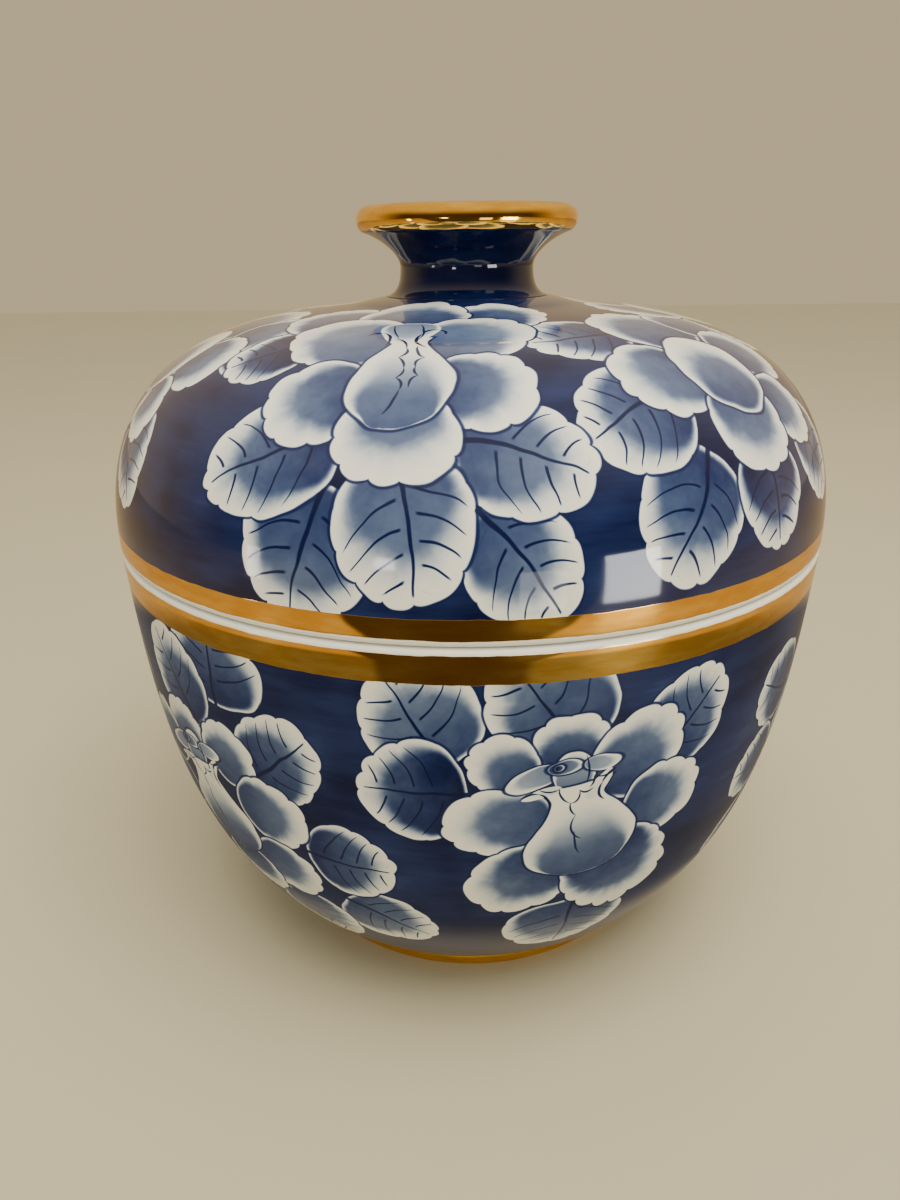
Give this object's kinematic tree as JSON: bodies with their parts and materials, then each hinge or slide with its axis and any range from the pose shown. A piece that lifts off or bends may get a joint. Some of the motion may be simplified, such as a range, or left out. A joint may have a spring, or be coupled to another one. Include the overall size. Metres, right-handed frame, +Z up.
{
  "type": "ginger jar",
  "caption": "Covered porcelain jar: a deep round bowl on a foot ring, and a domed lift-off lid with a hollow flared knob, painted with blue flowers and banded in gold.",
  "frame": {"origin": "centre of the foot ring's flat underside", "axes": "+Z up along the axis the jar is turned about, towards the knob; the jar is round, and -Y is the side with the main flower of the lid"},
  "size_m": [0.24, 0.24, 0.2499],
  "materials": {
    "painted_porcelain": "underglaze blue flowers and leaves on a brushed cobalt ground, clear gloss glaze, gold bands",
    "gilded_porcelain": "bright gold lustre fired over the glaze",
    "white_porcelain": "white gloss glaze, bare and matt where pieces rest on each other",
    "navy_porcelain": "deep cobalt gloss glaze with a gold lip"
  },
  "bodies": {
    "jar": {"jar_body": "painted_porcelain", "jar_foot_ring": "gilded_porcelain"},
    "lid": {"lid_dome": "painted_porcelain", "lid_locating_flange": "white_porcelain", "lid_knob": "navy_porcelain"}
  },
  "joints": [
    {"name": "lid_lift", "type": "slide", "parent": "jar", "child": "lid", "axis": [0, 0, 1], "range_m": [0, 0.12]}
  ]
}
